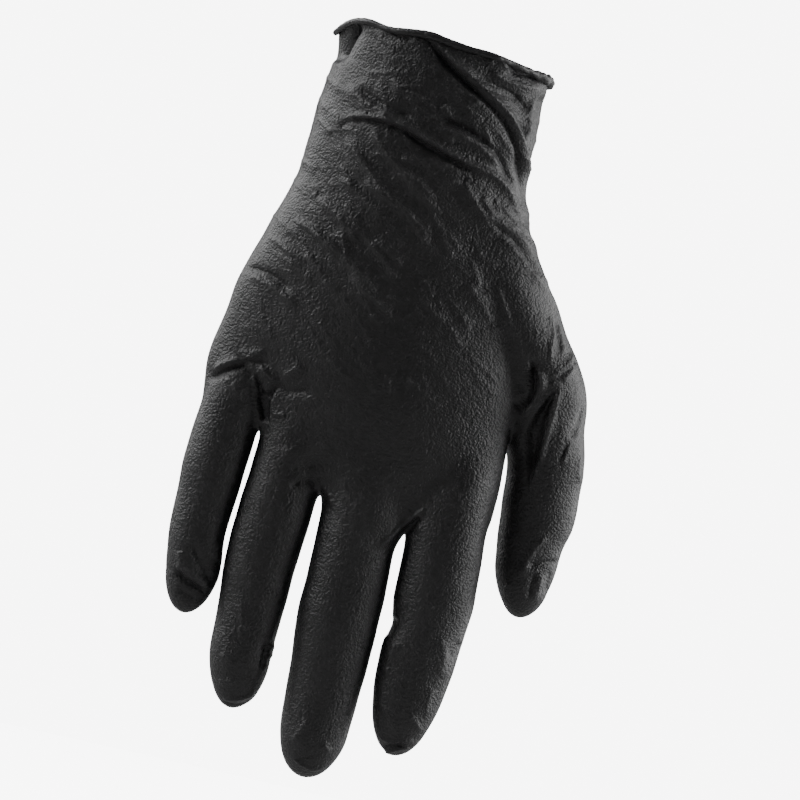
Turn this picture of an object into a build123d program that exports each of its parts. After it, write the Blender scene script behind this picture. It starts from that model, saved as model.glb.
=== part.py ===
"""Single-use nitrile glove, hanging from its cuff with the fingers down.

In life the film is one dipped skin with a rolled rim. Here it is divided at
the creases where it bends, so each segment can turn on the next one.

Millimetres. The origin is the centre of the cuff mouth. +Z points up out of
the mouth, -Y is the back of the hand and +X is the thumb's side.
"""

import os
from math import cos, radians, sin, tan

from build123d import *

FILM = 0.2  # thickness of the dipped film
ROLL = 1.7  # thickness of the rolled rim
MOUTH_LEAN = 4.6  # degrees that the mouth leans down towards the thumb's side
MOUTH_WIDE = 71.2
MOUTH_DEEP = 48.0
DEPTH = 0.8  # depth of a finger as a share of its width
CREASE = 1.2  # half the height of a fold, where it is lowest
REACH = 40.0  # half the side of a tool that divides the film

CUFF_END = -32.0  # where the cuff ends and the wrist starts to wrinkle
WRIST_END = -60.0  # where the wrist ends and the hand starts

# Forearm to knuckles: level, left edge, right edge, depth.
ARM = [
    (6.0, -36.0, 35.4, 48.0),
    (-15.0, -35.1, 34.8, 48.0),
    (-32.0, -37.0, 34.4, 45.0),
    (-46.0, -38.0, 37.4, 42.5),
    (-60.0, -41.0, 42.0, 40.5),
    (-75.0, -45.8, 45.4, 39.0),
    (-90.0, -49.8, 47.0, 37.5),
    (-105.0, -52.2, 47.8, 34.5),
    (-120.0, -52.8, 48.0, 29.0),
    (-131.0, -52.4, 47.8, 23.0),
]

# The band of film above the roots of the three long fingers, the same way.
KNUCKLES = [
    (-112.0, -30.0, 45.0, 30.0),
    (-130.0, -31.0, 46.4, 25.0),
    (-150.5, -30.8, 46.6, 17.0),
]

# Each finger: centre, height and width at its root, at its three joints and
# where its tip starts to round, then the end of the tip, and how far the
# finger curls towards the palm.
FINGERS = {
    "little": {
        "root": (-42.2, -112.0, 20.8),
        "knuckle": (-42.7, -140.0, 20.5),
        "middle": (-43.4, -158.5, 19.6),
        "tip": (-43.1, -176.0, 18.4),
        "last": (-42.4, -180.0, 17.8),
        "end": -197.0,
        "curl": 1.5,
    },
    "ring": {
        "root": (-19.3, -128.0, 23.2),
        "knuckle": (-20.4, -158.0, 23.8),
        "middle": (-21.5, -180.0, 22.4),
        "tip": (-21.4, -201.0, 20.4),
        "last": (-21.1, -206.0, 19.4),
        "end": -224.0,
        "curl": 2.5,
    },
    "middle": {
        "root": (7.4, -146.0, 29.8),
        "knuckle": (7.1, -162.5, 26.2),
        "middle": (7.1, -188.0, 26.2),
        "tip": (7.4, -213.5, 23.4),
        "last": (7.5, -222.5, 22.6),
        "end": -240.5,
        "curl": 3.0,
    },
    "index": {
        "root": (35.0, -146.0, 26.8),
        "knuckle": (35.5, -162.5, 25.8),
        "middle": (36.1, -184.0, 24.8),
        "tip": (35.0, -204.0, 23.4),
        "last": (34.2, -209.0, 22.2),
        "end": -227.0,
        "curl": 2.5,
    },
}

# The thumb: x, y, z, width, depth and the lean of each section in degrees.
THUMB = [
    (27.0, 1.0, -58.0, 27.0, 26.0, 32.0),
    (40.5, 3.0, -80.0, 31.0, 28.0, 30.0),
    (52.0, 5.0, -101.0, 33.0, 27.0, 26.0),
    (60.3, 7.0, -119.0, 25.6, 23.0, 12.0),
    (62.3, 8.0, -133.0, 24.4, 20.5, 3.0),
    (62.6, 8.5, -147.0, 22.8, 18.8, 0.0),
    (63.2, 9.0, -158.5, 20.0, 17.0, 0.0),
]
THUMB_END = -174.5

# How far each joint turns, in degrees: back, and in towards the palm.
KNUCKLE_TURN = (15.0, 60.0)
MIDDLE_TURN = (0.0, 75.0)
TIP_TURN = (0.0, 45.0)
THUMB_ROOT = (61.4, 7.5, -128.5)
THUMB_WEB = 48.7  # where the thumb parts from the edge of the hand
THUMB_ROOT_GAP = 4.6  # half the height of the fold at the thumb's root
THUMB_ROOT_LEAN = 12.0  # degrees
THUMB_TIP_Z = -149.0
THUMB_TIP_TURN = (0.0, 60.0)

os.makedirs("parts", exist_ok=True)


def section_plane(x, y, z, lean=0.0):
    """A level plane, or one turned by lean degrees about +Y."""
    turn = radians(lean)
    return Plane(
        origin=(x, y, z),
        x_dir=(cos(turn), 0, sin(turn)),
        z_dir=(-sin(turn), 0, cos(turn)),
    )


def limb(sections, inset):
    """A closed solid through oval sections, drawn in all round by inset."""
    with BuildPart() as body:
        for x, y, z, wide, deep, lean in sections:
            with BuildSketch(section_plane(x, y, z, lean)):
                Ellipse(wide / 2 - inset, deep / 2 - inset)
        loft()
    return body.part


def level_sections(rows, inset):
    """Level sections from rows of height, left edge, right edge and depth.

    The last one is raised by inset, to leave a floor of that thickness.
    """
    sections = []
    for z, left, right, deep in rows:
        lift = inset if z == rows[-1][0] else 0.0
        sections.append(((left + right) / 2, 0.0, z + lift, right - left, deep, 0.0))
    return sections


def closed_limb(sections, end, inset):
    """A limb that is closed under its last section by an oval end."""
    x, y, z, wide, deep, _ = sections[-1]
    with BuildPart() as tip:
        Sphere(1, arc_size1=-90, arc_size2=0, align=(Align.CENTER, Align.CENTER, Align.MAX))
        scale(by=(wide / 2 - inset, deep / 2 - inset, z - end - inset))
    with BuildPart() as body:
        add(limb(sections, inset))
        add(Pos(x, y, z) * tip.part)
    return body.part


def curl_at(finger, z):
    """How far a finger has curled towards the palm at one height."""
    top = finger["root"][1]
    return finger["curl"] * ((top - z) / (top - finger["end"])) ** 2


def finger_sections(finger):
    """All the sections of one finger, from inside the hand to its tip."""
    sections = []
    for name in ("root", "knuckle", "middle", "last"):
        x, z, wide = finger[name]
        sections.append((x, curl_at(finger, z), z, wide, wide * DEPTH, 0.0))
    return sections


def crease_line(y, z, deep, turn, side):
    """The edge of a fold in the YZ plane, above (1) or below (-1) its axis."""
    back, palm = turn
    reach = deep / 2 + 1.5
    back_rise = CREASE + reach * tan(radians(back / 2))
    palm_rise = CREASE + reach * tan(radians(palm / 2))
    return [
        (y - reach, z + side * back_rise),
        (y, z + side * CREASE),
        (y + reach, z + side * palm_rise),
    ]


def film_between(outer, inner, x, upper, lower):
    """The film of one limb between an upper and a lower line in the YZ plane."""
    with BuildPart() as piece:
        add(outer)
        add(inner, mode=Mode.SUBTRACT)
        with BuildSketch(Plane.YZ.offset(x - REACH)):
            with BuildLine():
                Polyline(*upper, *reversed(lower), close=True)
            make_face()
        extrude(amount=2 * REACH, mode=Mode.INTERSECT)
    return piece.part


def save(solid, name):
    """Labels one piece and writes it out."""
    solid.label = name
    export_step(solid, f"parts/{name}.step")


mouth = section_plane(-0.3, 0, 0.8, -MOUTH_LEAN)
arm_outer = limb(level_sections(ARM, 0), 0)
arm_inner = limb(level_sections(ARM, FILM), FILM)

# The rim: the end of the film, rolled up into a round bead.
with BuildPart() as cuff_bead:
    with BuildLine(mouth) as rim:
        EllipticalCenterArc((0, 0), MOUTH_WIDE / 2, MOUTH_DEEP / 2, arc_size=360)
    with BuildSketch(Plane(origin=rim.line @ 0, z_dir=rim.line % 0)):
        Circle(ROLL / 2)
    sweep()
save(cuff_bead.part, "cuff_bead")

# The cuff hangs from the rim, and stops where the wrist wrinkles.
with BuildPart() as cuff_sleeve:
    add(arm_outer)
    add(arm_inner, mode=Mode.SUBTRACT)
    with BuildSketch(Plane.XY.offset(CUFF_END)):
        Rectangle(4 * REACH, 4 * REACH)
    extrude(amount=2 * REACH, mode=Mode.INTERSECT)
    split(bisect_by=mouth, keep=Keep.BOTTOM)
    add(cuff_bead.part, mode=Mode.SUBTRACT)
save(cuff_sleeve.part, "cuff_sleeve")

# The wrist: the narrow wrinkled band that the hand bends on.
with BuildPart() as wrist_fold:
    add(arm_outer)
    add(arm_inner, mode=Mode.SUBTRACT)
    with BuildSketch(Plane.XY.offset(WRIST_END)):
        Rectangle(4 * REACH, 4 * REACH)
    extrude(amount=CUFF_END - WRIST_END, mode=Mode.INTERSECT)
save(wrist_fold.part, "wrist_fold")

knuckles_outer = limb(level_sections(KNUCKLES, 0), 0)
knuckles_inner = limb(level_sections(KNUCKLES, FILM), FILM)
thumb_outer = closed_limb(THUMB, THUMB_END, 0)
thumb_inner = closed_limb(THUMB, THUMB_END, FILM)
thumb_root = section_plane(*THUMB_ROOT, THUMB_ROOT_LEAN)
outers = {}
inners = {}
for name, finger in FINGERS.items():
    outers[name] = closed_limb(finger_sections(finger), finger["end"], 0)
    inners[name] = closed_limb(finger_sections(finger), finger["end"], FILM)

# The hand, open at the wrist, at the root of each finger and at the thumb.
with BuildPart() as hand_shell:
    add(arm_outer)
    add(knuckles_outer)
    add(thumb_outer)
    for name in FINGERS:
        add(outers[name])
    add(arm_inner, mode=Mode.SUBTRACT)
    add(knuckles_inner, mode=Mode.SUBTRACT)
    add(thumb_inner, mode=Mode.SUBTRACT)
    for name in FINGERS:
        add(inners[name], mode=Mode.SUBTRACT)
    with BuildSketch(Plane.XY.offset(WRIST_END)):
        Rectangle(8 * REACH, 4 * REACH)
    extrude(amount=3 * REACH, mode=Mode.SUBTRACT)
    for finger in FINGERS.values():
        x, z, wide = finger["knuckle"]
        y = curl_at(finger, z)
        edge = crease_line(y, z, wide * DEPTH, KNUCKLE_TURN, 1)
        with BuildSketch(Plane.YZ.offset(x - wide / 2 - 0.3)):
            with BuildLine():
                Polyline(*edge, (REACH / 2, -300), (-REACH / 2, -300), close=True)
            make_face()
        extrude(amount=wide + 0.6, mode=Mode.SUBTRACT)
    rise = THUMB_ROOT_GAP / cos(radians(THUMB_ROOT_LEAN))
    slope = tan(radians(THUMB_ROOT_LEAN))
    inside = THUMB_ROOT[2] + rise + slope * (THUMB_WEB - THUMB_ROOT[0])
    outside = THUMB_ROOT[2] + rise + slope * (90 - THUMB_ROOT[0])
    with BuildSketch(Plane.XZ.offset(-REACH)):
        with BuildLine():
            Polyline((THUMB_WEB, inside), (90, outside), (90, -300), (THUMB_WEB, -300), close=True)
        make_face()
    extrude(amount=2 * REACH, mode=Mode.SUBTRACT)
save(hand_shell.part, "hand_shell")

# Each finger: a wrinkled fold before each of its three segments.
for name, finger in FINGERS.items():
    lines = []
    for joint, turn in (("knuckle", KNUCKLE_TURN), ("middle", MIDDLE_TURN), ("tip", TIP_TURN)):
        x, z, wide = finger[joint]
        y = curl_at(finger, z)
        lines.append(crease_line(y, z, wide * DEPTH, turn, 1))
        lines.append(crease_line(y, z, wide * DEPTH, turn, -1))
    end = finger["end"] - 5
    lines.append([(-REACH / 2, end), (0, end), (REACH / 2, end)])
    pieces = ("root_fold", "proximal", "middle_fold", "middle", "tip_fold", "tip")
    for i, piece in enumerate(pieces):
        x = finger["middle"][0]
        film = film_between(outers[name], inners[name], x, lines[i], lines[i + 1])
        save(film, f"{name}_{piece}")

# The thumb: a fold at its root, its long segment, a fold and its tip.
with BuildPart() as thumb_root_fold:
    add(thumb_outer)
    add(thumb_inner, mode=Mode.SUBTRACT)
    with BuildSketch(thumb_root.offset(-THUMB_ROOT_GAP)):
        Rectangle(2 * REACH, 2 * REACH)
    extrude(amount=2 * THUMB_ROOT_GAP, mode=Mode.INTERSECT)
save(thumb_root_fold.part, "thumb_root_fold")

thumb_y = THUMB[5][1]
thumb_deep = THUMB[5][4]
thumb_upper = crease_line(thumb_y, THUMB_TIP_Z, thumb_deep, THUMB_TIP_TURN, 1)
thumb_lower = crease_line(thumb_y, THUMB_TIP_Z, thumb_deep, THUMB_TIP_TURN, -1)
thumb_top = [(-REACH, -100.0), (0, -100.0), (REACH, -100.0)]
thumb_bottom = [(-REACH, -180.0), (0, -180.0), (REACH, -180.0)]

with BuildPart() as thumb_base:
    add(film_between(thumb_outer, thumb_inner, THUMB_ROOT[0], thumb_top, thumb_upper))
    split(bisect_by=thumb_root.offset(-THUMB_ROOT_GAP), keep=Keep.BOTTOM)
save(thumb_base.part, "thumb_base")

thumb_tip_fold = film_between(thumb_outer, thumb_inner, THUMB_ROOT[0], thumb_upper, thumb_lower)
save(thumb_tip_fold, "thumb_tip_fold")
thumb_tip = film_between(thumb_outer, thumb_inner, THUMB_ROOT[0], thumb_lower, thumb_bottom)
save(thumb_tip, "thumb_tip")
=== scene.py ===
"""The looks of a black single-use nitrile glove that hangs from its cuff.

The film is one branching skin. It is worked out as the zero level of a field
made of level oval sections, then creased along drawn folds, and divided
where each stretch of film follows another joint. Lengths are millimetres in
the classes and metres in the meshes.
"""

import logging
import math
from dataclasses import dataclass, field
from enum import Enum

import bpy
import numpy as np
from mathutils import Matrix, Vector

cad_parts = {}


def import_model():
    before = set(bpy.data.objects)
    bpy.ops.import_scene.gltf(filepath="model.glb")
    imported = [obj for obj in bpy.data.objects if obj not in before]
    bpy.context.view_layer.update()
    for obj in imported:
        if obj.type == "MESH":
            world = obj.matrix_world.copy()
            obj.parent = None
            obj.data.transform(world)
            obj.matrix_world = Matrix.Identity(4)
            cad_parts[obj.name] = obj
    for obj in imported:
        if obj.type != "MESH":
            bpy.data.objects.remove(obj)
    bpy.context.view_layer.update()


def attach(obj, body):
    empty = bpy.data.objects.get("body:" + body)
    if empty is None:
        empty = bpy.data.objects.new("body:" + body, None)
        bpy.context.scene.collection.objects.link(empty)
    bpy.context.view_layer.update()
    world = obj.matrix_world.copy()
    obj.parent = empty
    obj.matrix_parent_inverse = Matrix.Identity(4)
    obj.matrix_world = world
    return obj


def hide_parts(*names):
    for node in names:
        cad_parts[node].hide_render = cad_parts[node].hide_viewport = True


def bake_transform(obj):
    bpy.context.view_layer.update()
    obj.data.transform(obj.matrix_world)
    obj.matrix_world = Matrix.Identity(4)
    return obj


LOG = logging.getLogger("glove")
MM = 0.001


def smooth_step(low: float, high: float, value: np.ndarray) -> np.ndarray:
    """Zero below low, one above high and an S-curve between: t squared times 3 - 2t."""
    t = np.clip((value - low) / (high - low), 0.0, 1.0)
    return t * t * (3 - 2 * t)


def soft_min(a: np.ndarray, b: np.ndarray, reach: np.ndarray | float) -> np.ndarray:
    """The lower of two fields, rounded where they differ by less than reach.

    With h = max(reach - |a - b|, 0) / reach it is min(a, b) less h cubed times reach / 6.
    """
    h = np.maximum(reach - np.abs(a - b), 0.0) / reach
    return np.minimum(a, b) - h**3 * reach / 6


@dataclass(frozen=True)
class Course:
    """A size that changes smoothly along one direction, given at a few stations."""

    at: tuple[float, ...]
    values: tuple[float, ...]

    def __call__(self, where: np.ndarray) -> np.ndarray:
        """The size at each place, by a cubic curve through the stations.

        Between two stations the curve is Hermite's: its slopes at the stations
        are those of the chord through their neighbours.

        Args:
            where: places along the direction, in any order.

        Returns:
            The size at each place, held level past both ends.
        """
        x = np.asarray(self.at, float)
        y = np.asarray(self.values, float)
        slope = np.gradient(y, x)
        w = np.clip(where, x[0], x[-1])
        i = np.clip(np.searchsorted(x, w) - 1, 0, len(x) - 2)
        span = x[i + 1] - x[i]
        t = (w - x[i]) / span
        start = y[i] * (1 + 2 * t) * (1 - t) ** 2 + slope[i] * span * t * (1 - t) ** 2
        end = y[i + 1] * t**2 * (3 - 2 * t) - slope[i + 1] * span * t**2 * (1 - t)
        return start + end


@dataclass(frozen=True)
class Limb:
    """A tube of film given by its level sections: a finger, the thumb or the arm."""

    levels: tuple[float, ...]
    left: tuple[float, ...]
    right: tuple[float, ...]
    depth: tuple[float, ...]
    behind: tuple[float, ...]
    round_from: float = -1000.0
    end: float = -2000.0
    power: float = 2.15

    def course(self, values: tuple[float, ...]) -> Course:
        """A size of this limb along its height, from its lowest level up."""
        return Course(self.levels[::-1], values[::-1])

    def section(self, z: np.ndarray) -> tuple[np.ndarray, ...]:
        """Centre and half sizes of the level section at each height.

        Below round_from the half sizes shrink like an ellipse's: by the square
        root of 1 less the squared share of the way to the end.

        Args:
            z: heights.

        Returns:
            Centre x, centre y, half width and half depth.
        """
        left, right = self.course(self.left)(z), self.course(self.right)(z)
        down = np.clip((self.round_from - z) / (self.round_from - self.end), 0.0, 0.9999)
        swell = np.sqrt(1 - down**2)
        middle = self.course(self.behind)(z)
        return (left + right) / 2, middle, (right - left) / 2 * swell, self.course(self.depth)(z) / 2 * swell

    def distance(self, x: np.ndarray, y: np.ndarray, z: np.ndarray) -> np.ndarray:
        """How far outside the tube each point is, measured away from its middle line.

        The section is a super-ellipse: q is the p-th root of |u|^p + |v|^p, and
        the distance from the middle times 1 - 1/q is zero on the film.
        """
        cx, cy, wide, deep = self.section(z)
        dx, dy = x - cx, y - cy
        q = (np.abs(dx / wide) ** self.power + np.abs(dy / deep) ** self.power) ** (1 / self.power) + 1e-4
        out = np.sqrt(dx**2 + dy**2) * (1 - 1 / q)
        return np.maximum(out, np.maximum(self.end - z, z - self.levels[0]))


@dataclass(frozen=True)
class Fold:
    """A raised or sunken line in the film, drawn on the back or the palm."""

    line: tuple[tuple[float, float], ...]
    height: float
    width: float
    lean: float = 1.35
    palm: bool = False

    def path(self, step: float = 0.4) -> tuple[np.ndarray, np.ndarray, np.ndarray]:
        """The line as a smooth curve.

        x and z are each a Course of the length run along the drawn points.

        Args:
            step: the distance between the curve's points.

        Returns:
            The points, the unit direction at each, and the share of the way to each.
        """
        drawn = np.array(self.line, float)
        run = np.concatenate([[0], np.cumsum(np.linalg.norm(np.diff(drawn, axis=0), axis=1))])
        at = np.linspace(0, run[-1], max(int(run[-1] / step), 4))
        points = np.stack([Course(tuple(run), tuple(drawn[:, k]))(at) for k in (0, 1)], axis=1)
        ahead = np.gradient(points, axis=0)
        ahead /= np.linalg.norm(ahead, axis=1)[:, None] + 1e-9
        return points, ahead, at / run[-1]


@dataclass(frozen=True)
class Hollow:
    """A patch of the back that has sunk in between two folds."""

    outline: tuple[tuple[float, float], ...]
    depth: float
    edge: float

    def sink(self, x: np.ndarray, z: np.ndarray) -> np.ndarray:
        """How far each point has sunk, as a share of the depth.

        It is an S-curve of the distance inside the outline, over edge. A point
        is inside where a level line from it crosses the outline an odd number
        of times.
        """
        corners = np.array(self.outline, float)
        gap, odd = np.full(len(x), 1e9), np.zeros(len(x), bool)
        for (ax, az), (bx, bz) in zip(corners, np.roll(corners, -1, axis=0)):
            side_x, side_z = bx - ax, bz - az
            t = np.clip(((x - ax) * side_x + (z - az) * side_z) / (side_x**2 + side_z**2), 0, 1)
            gap = np.minimum(gap, np.hypot(x - ax - t * side_x, z - az - t * side_z))
            if az != bz:
                odd ^= ((az > z) != (bz > z)) & (x < ax + (z - az) * side_x / side_z)
        return smooth_step(0, self.edge, np.where(odd, gap, 0.0))


@dataclass(frozen=True)
class Joint:
    """Where the film bends between two bodies, and where its piece of film ends."""

    upper: str
    lower: str
    start: tuple[float, float, float]
    end: tuple[float, float, float]


@dataclass
class Digit:
    """A finger or the thumb: its tube, and the heights at which it bends."""

    name: str
    tube: Limb
    root: float
    joints: tuple[Joint, ...]
    seams: tuple[float, ...]
    slope: float = 0.0
    edge: float = 0.0

    def below_root(self, x: np.ndarray, z: np.ndarray) -> np.ndarray:
        """How far each point is below the line where the digit leaves the hand."""
        return self.root + self.slope * (x - self.edge) - z


def finger(
    name: str, tube: Limb, x: float, spans: tuple[tuple[float, float], ...], seams: tuple[float, ...]
) -> Digit:
    """A finger with three bends, each straight down; it leaves the hand where the first one starts.

    Args:
        name: the finger's name.
        tube: its sections.
        x: where its middle line lies.
        spans: the heights from which and to which each bend goes.
        seams: the heights at which its pieces of film meet.

    Returns:
        The finger.
    """
    bodies = ("hand", f"{name}_proximal", f"{name}_middle", f"{name}_tip")
    joints = tuple(
        Joint(bodies[i], bodies[i + 1], (x, 0, top), (x, 0, bottom)) for i, (top, bottom) in enumerate(spans)
    )
    return Digit(name, tube, spans[0][0], joints, seams)


class Shade(Enum):
    """The two tones of the film: mixed partly at random and partly as painted shade, deep in creases and
    hollows and pale on raised crests.
    """

    DEEP = (0.005, 0.005, 0.0054)
    PALE = (0.0138, 0.0136, 0.0142)


@dataclass
class HandShape:
    """The whole skin of the glove as a field."""

    digits: tuple[Digit, ...]
    arm: Limb = Limb(
        levels=(9, 0, -8, -16, -25, -35, -50, -60, -70, -80, -90, -100, -110, -117, -125, -135, -160),
        left=(
            -36.8, -36, -35, -35.2, -36.8, -37.2, -38.4, -41, -44.2,
            -47.2, -49.6, -51, -52.6, -52.9, -51.8, -52.4, -52.6,
        ),
        right=(
            35.8, 35.2, 34.6, 34.6, 34.2, 34.8, 38.4, 41.2, 43.6,
            45.4, 46.4, 47.2, 47.8, 48, 48.1, 48, 48,
        ),
        depth=(48, 48, 48, 47, 46, 44.5, 42, 40.6, 39.6, 38.8, 38, 37.4, 37, 37, 37, 37, 37),
        behind=(0,) * 17,
        power=2.25,
    )
    web_line: Course = Course(
        (-56, -42, -31.5, -20, -7.5, 7, 22, 36, 50),
        (-124, -129, -133, -141, -149, -152.6, -154.6, -152, -146),
    )
    taper: Course = Course((0, 8, 20, 35, 55, 80, 200), (6.2, 9.2, 12.2, 15.2, 17.8, 19.6, 34))
    rim_line: Course = Course(
        (-36.5, -33, -28, -19, -7, 5, 17, 26, 36),
        (-1.4, 0.9, 1.9, 0.9, 1.8, 0.5, -0.3, -1.6, -3.0),
    )
    rim_drop: float = 1.5
    cell: float = 0.5
    round_sides: float = 4.0
    round_web: float = 5.0
    web_slope: float = 0.85
    round_root: float = 4.5
    thumb_web: tuple[float, float] = (-124.0, -112.0)

    def mouth(self, x: np.ndarray, y: np.ndarray) -> np.ndarray:
        """The height of the cuff's mouth: a wavy line that falls to the thumb's side and to the palm."""
        return self.rim_line(x) - self.rim_drop * smooth_step(-12, 16, y)

    def palm(self, x: np.ndarray, y: np.ndarray, z: np.ndarray) -> np.ndarray:
        """The arm's tube, thinned towards the webs and closed along the line of the webs."""
        above = z - self.web_line(x)
        cx, _, wide, deep = self.arm.section(z)
        thin = soft_min(deep + 0 * above, self.taper(above), self.round_sides)
        dx = x - cx
        p = self.arm.power
        q = (np.abs(dx / wide) ** p + np.abs(y / thin) ** p) ** (1 / p) + 1e-4
        side = np.sqrt(dx**2 + y**2) * (1 - 1 / q)
        return -soft_min(-side, above * self.web_slope, self.round_web)

    def skin(self, x: np.ndarray, y: np.ndarray, z: np.ndarray) -> tuple[np.ndarray, np.ndarray]:
        """The field of the whole skin, which is zero on the film and negative inside.

        Each digit is joined to the palm with a rounded union, and the results
        are joined sharply, so neighbouring digits part at their webs. The
        thumb's union is nearly sharp below its web.

        Args:
            x: across the hand. y: towards the palm. z: up.

        Returns:
            The field, and which digit is nearest (-1 for the palm).
        """
        palm = self.palm(x, y, z)
        whole, nearest = palm, np.full(np.broadcast(x, y, z).shape, -1, np.int8)
        for i, digit in enumerate(self.digits):
            tube = digit.tube.distance(x, y, z)
            reach = self.round_root
            if digit.name == "thumb":
                reach = self.round_root * smooth_step(*self.thumb_web, z) + 0.2
            joined = soft_min(palm, tube, reach)
            nearer = (tube < whole) & (tube < palm)
            nearest = np.where(nearer, np.int8(i), nearest)
            whole = np.minimum(whole, joined)
        return whole, nearest


def digits() -> tuple[Digit, ...]:
    """The four fingers and the thumb, with the sizes of each."""
    little = Limb(
        levels=(-88, -100, -113, -126, -135, -147, -160, -170, -178, -184),
        left=(-41, -46.5, -50.6, -51.7, -52.6, -53.6, -53.2, -53.0, -52.0, -51.4),
        right=(-37, -33.4, -31.7, -31.8, -32.0, -32.9, -33.8, -34.5, -34.0, -33.4),
        depth=(4, 10, 15.6, 17, 16.8, 16.4, 15.8, 15.4, 14.8, 14.4),
        behind=(0, 0, 0, 0, 0.1, 0.2, 0.5, 0.8, 1.0, 1.2),
        round_from=-179,
        end=-197,
    )
    ring = Limb(
        levels=(-98, -113, -128, -140, -150, -160, -170, -180, -190, -200, -210, -218),
        left=(-26, -29.4, -30.8, -31.2, -31.8, -32.6, -33.1, -32.7, -32.0, -31.5, -30.8, -30.2),
        right=(-13, -9, -7.5, -7.7, -8.0, -8.8, -9.6, -10.2, -10.8, -11.1, -11.1, -10.8),
        depth=(8, 16, 20, 19.6, 19.3, 19, 18.8, 18, 17.2, 16.6, 15.8, 15.2),
        behind=(0, 0, 0, 0, 0, 0.2, 0.5, 0.9, 1.3, 1.7, 2.1, 2.4),
        round_from=-205,
        end=-224,
    )
    middle = Limb(
        levels=(-100, -119, -138, -150, -155, -162, -172, -185, -200, -212, -224),
        left=(-1, -5.4, -7.1, -7.1, -6.4, -6.0, -6.0, -6.2, -5.2, -4.3, -3.7),
        right=(15, 20, 21.8, 21.9, 21.7, 20.2, 20.1, 20.3, 19.8, 19.4, 18.7),
        depth=(8, 17, 22, 21.6, 21.4, 21.2, 21, 20.8, 19.8, 18.8, 17.8),
        behind=(0, 0, 0, 0, 0, 0.1, 0.4, 0.9, 1.6, 2.2, 2.7),
        round_from=-222.5,
        end=-240.5,
    )
    index = Limb(
        levels=(-98, -112, -126, -138, -150, -158, -168, -176, -184.5, -192, -200, -210, -218),
        left=(30, 26, 23, 22.2, 22.3, 22.4, 22.8, 23.1, 24.2, 23.0, 23.1, 23.6, 23.7),
        right=(38, 43, 46.8, 47.8, 48.0, 48.3, 48.9, 49.2, 48.2, 47.7, 47.0, 45.6, 45.0),
        depth=(4, 11, 18, 21, 21, 20.8, 20.4, 20.2, 19.8, 19.2, 18.6, 17.6, 17.0),
        behind=(0, 0, 0, 0, 0, 0, 0.2, 0.5, 0.9, 1.2, 1.6, 2.1, 2.4),
        round_from=-205,
        end=-227,
    )
    thumb = Limb(
        levels=(
            -48, -60, -70, -80, -90, -97, -104, -112, -119,
            -125, -131, -137, -143, -150, -158, -165, -171,
        ),
        left=(6, 12, 17, 22, 29, 35, 39.5, 43.5, 46.6, 48.9, 49.9, 50.4, 50.9, 51.4, 52.6, 54, 55),
        right=(
            36, 44.6, 51.0, 57.6, 64.6, 68.6, 70.7, 71.7, 73.2,
            74.2, 74.6, 75.1, 74.7, 73.2, 72.9, 72.4, 72.4,
        ),
        depth=(30, 35, 35, 34, 32, 30, 28, 26, 24, 22.4, 21.4, 20.8, 20, 19.2, 18, 17.2, 16.6),
        behind=(1, 2, 3, 4, 5, 5.6, 6.1, 6.7, 7.2, 7.6, 8, 8.3, 8.5, 8.8, 9.1, 9.4, 9.6),
        round_from=-158.5,
        end=-174.6,
    )
    return (
        finger("little", little, -43, ((-133.5, -147.5), (-150.5, -166.5), (-169.5, -182.5)), (-149, -168)),
        finger("ring", ring, -21, ((-149.5, -166), (-171, -189), (-194, -208)), (-168.5, -191.5)),
        finger("middle", middle, 7, ((-155, -170.5), (-178.5, -197.5), (-206, -221)), (-174.5, -201.5)),
        finger("index", index, 36, ((-155, -170.5), (-175.5, -192.5), (-197, -211)), (-173, -195)),
        Digit(
            "thumb",
            thumb,
            -122.5,
            (
                Joint("hand", "thumb_base", (61.4, 7.5, -119.8), (64.8, 7.5, -136.0)),
                Joint("thumb_base", "thumb_tip", (62.6, 8.5, -142.0), (62.6, 8.5, -156.5)),
            ),
            (-139.5,),
            slope=0.2126,
            edge=48.7,
        ),
    )


@dataclass
class Skin:
    """The film as a mesh: its points, faces, outward directions and a tone mark for each point, which paints
    shade into creases and hollows and lightens raised crests.
    """

    points: np.ndarray
    quads: np.ndarray
    normals: np.ndarray = field(default_factory=lambda: np.zeros((0, 3)))
    shade_mark: np.ndarray = field(default_factory=lambda: np.zeros(0))


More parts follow.
